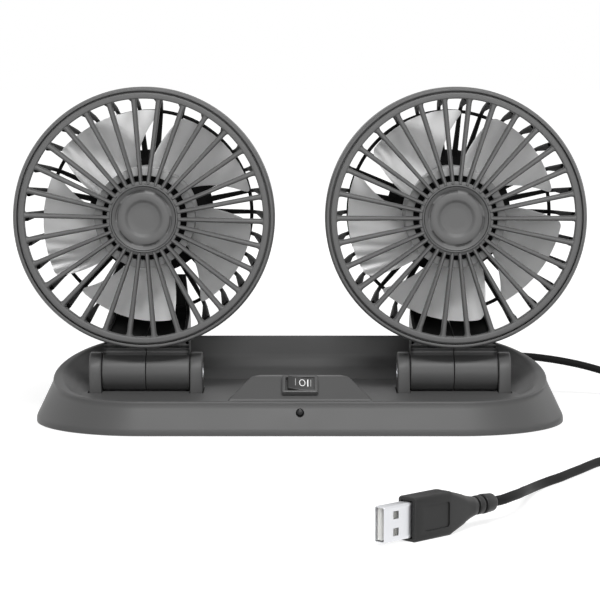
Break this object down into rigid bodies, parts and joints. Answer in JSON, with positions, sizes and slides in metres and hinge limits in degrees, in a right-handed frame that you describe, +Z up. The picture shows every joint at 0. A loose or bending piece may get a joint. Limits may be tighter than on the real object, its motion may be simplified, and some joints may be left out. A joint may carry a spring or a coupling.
{
  "type": "dual head fan",
  "caption": "Round fan heads side by side on a long dish-shaped base, each tilting on its own hinge, with a rocker switch and a USB lead.",
  "frame": {"origin": "on the surface it stands on, under the middle of the base", "axes": "+Z up, +X to the right seen from the front, +Y to the back"},
  "size_m": [0.3231, 0.3523, 0.149],
  "materials": {
    "grey_plastic": "fine matte moulding, mid grey",
    "dark_plastic": "satin black moulding",
    "blade_plastic": "smooth light grey moulding",
    "cable_plastic": "soft black PVC",
    "switch_plastic": "semi-gloss black",
    "steel": "plated steel",
    "copper": "enamelled windings",
    "foot_rubber": "soft rubber",
    "board": "circuit board lacquer",
    "lamp": "smoked lens, unlit",
    "tongue_plastic": "white moulding"
  },
  "bodies": {
    "base": {"base_top_shell": "grey_plastic", "base_bottom_cover": "grey_plastic", "rubber_foot_1": "foot_rubber", "rubber_foot_2": "foot_rubber", "rubber_foot_3": "foot_rubber", "rubber_foot_4": "foot_rubber", "cover_screw_1": "steel", "cover_screw_2": "steel", "cover_screw_3": "steel", "cover_screw_4": "steel", "control_board": "board", "indicator_lamp": "lamp", "cable_strain_relief": "cable_plastic", "cable_lead": "cable_plastic", "cable_coil": "cable_plastic", "cable_tail": "cable_plastic", "plug_grip": "cable_plastic", "plug_shell": "steel", "plug_tongue": "tongue_plastic", "switch_housing": "switch_plastic", "left_hinge_ear_outer": "grey_plastic", "left_hinge_ear_inner": "grey_plastic", "left_hinge_screw": "steel", "left_hinge_nut": "steel", "right_hinge_ear_outer": "grey_plastic", "right_hinge_ear_inner": "grey_plastic", "right_hinge_screw": "steel", "right_hinge_nut": "steel"},
    "head_left": {"left_arm_half_outer": "grey_plastic", "left_arm_half_inner": "grey_plastic", "left_head_rim": "grey_plastic", "left_rear_cage": "dark_plastic", "left_front_grille": "grey_plastic", "left_hub_cap": "grey_plastic", "left_motor_stator": "copper"},
    "rotor_left": {"left_rotor_can": "dark_plastic", "left_motor_shaft": "steel", "left_fan_wheel": "blade_plastic"},
    "head_right": {"right_arm_half_outer": "grey_plastic", "right_arm_half_inner": "grey_plastic", "right_head_rim": "grey_plastic", "right_rear_cage": "dark_plastic", "right_front_grille": "grey_plastic", "right_hub_cap": "grey_plastic", "right_motor_stator": "copper"},
    "rotor_right": {"right_rotor_can": "dark_plastic", "right_motor_shaft": "steel", "right_fan_wheel": "blade_plastic"},
    "rocker": {"switch_rocker": "switch_plastic"}
  },
  "joints": [
    {"name": "head_left_tilt", "type": "hinge", "parent": "base", "child": "head_left", "pos_m": [-0.0685, -0.004, 0.0223], "axis": [1, 0, 0], "range_deg": [-14, 50]},
    {"name": "fan_left_spin", "type": "hinge", "parent": "head_left", "child": "rotor_left", "pos_m": [-0.0685, -0.0166, 0.0915], "axis": [0, 1, 0], "continuous": true},
    {"name": "head_right_tilt", "type": "hinge", "parent": "base", "child": "head_right", "pos_m": [0.0685, -0.004, 0.0223], "axis": [1, 0, 0], "range_deg": [-14, 50]},
    {"name": "fan_right_spin", "type": "hinge", "parent": "head_right", "child": "rotor_right", "pos_m": [0.0685, -0.0166, 0.0915], "axis": [0, 1, 0], "continuous": true},
    {"name": "switch_rock", "type": "hinge", "parent": "base", "child": "rocker", "pos_m": [0, -0.03509, 0.0177], "axis": [0, 0.7923, 0.6101], "range_deg": [-18, 0]}
  ]
}
